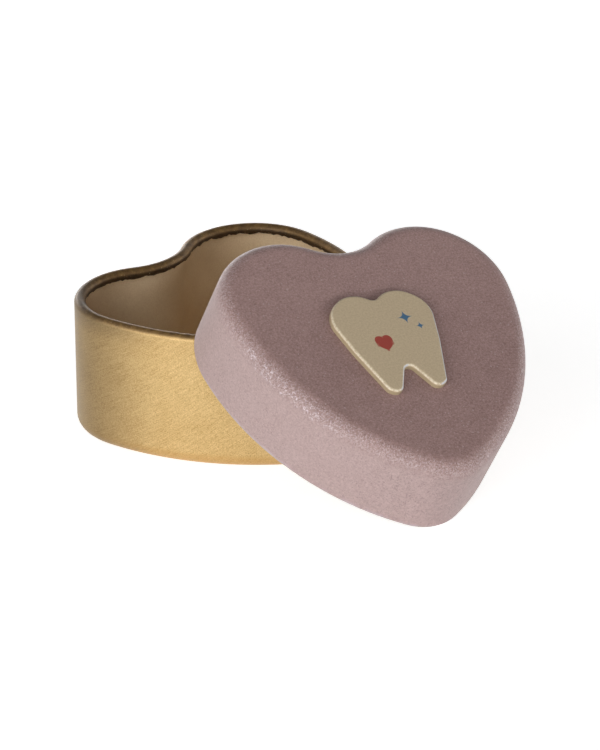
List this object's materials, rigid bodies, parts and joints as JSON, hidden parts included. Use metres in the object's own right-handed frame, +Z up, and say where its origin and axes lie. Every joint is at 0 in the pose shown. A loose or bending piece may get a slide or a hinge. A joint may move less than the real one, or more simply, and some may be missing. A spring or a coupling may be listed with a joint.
{
  "type": "baby tooth box",
  "caption": "Heart-shaped drawn tin box with a rolled rim, cream inside, and a loose mauve slip lid with a raised tooth badge, leaning tip down on the rim.",
  "frame": {"origin": "centre of the box's flat underside: middle of the heart's length and width, on the table", "axes": "+Z up; -Y towards the tip of the box's heart, +Y towards its lobes; +X to the right, seen from above with the lobes up"},
  "size_m": [0.0669, 0.1004, 0.0471],
  "materials": {
    "gold_lacquered_tin": "satin",
    "cream_lacquer": "satin",
    "bare_tinplate": "satin",
    "mauve_coat": "matte",
    "cream_enamel": "satin",
    "clear_glue": "satin"
  },
  "bodies": {
    "box": {"base_shell": "gold_lacquered_tin", "base_lining": "cream_lacquer"},
    "lid": {"lid_shell": "bare_tinplate", "lid_coat": "mauve_coat", "tooth_badge": "cream_enamel", "badge_adhesive": "clear_glue"}
  },
  "joints": [
    {"name": "lid_lift", "type": "slide", "parent": "box", "child": "lid", "axis": [0, 0, 1], "range_m": [0, 0.04]}
  ]
}
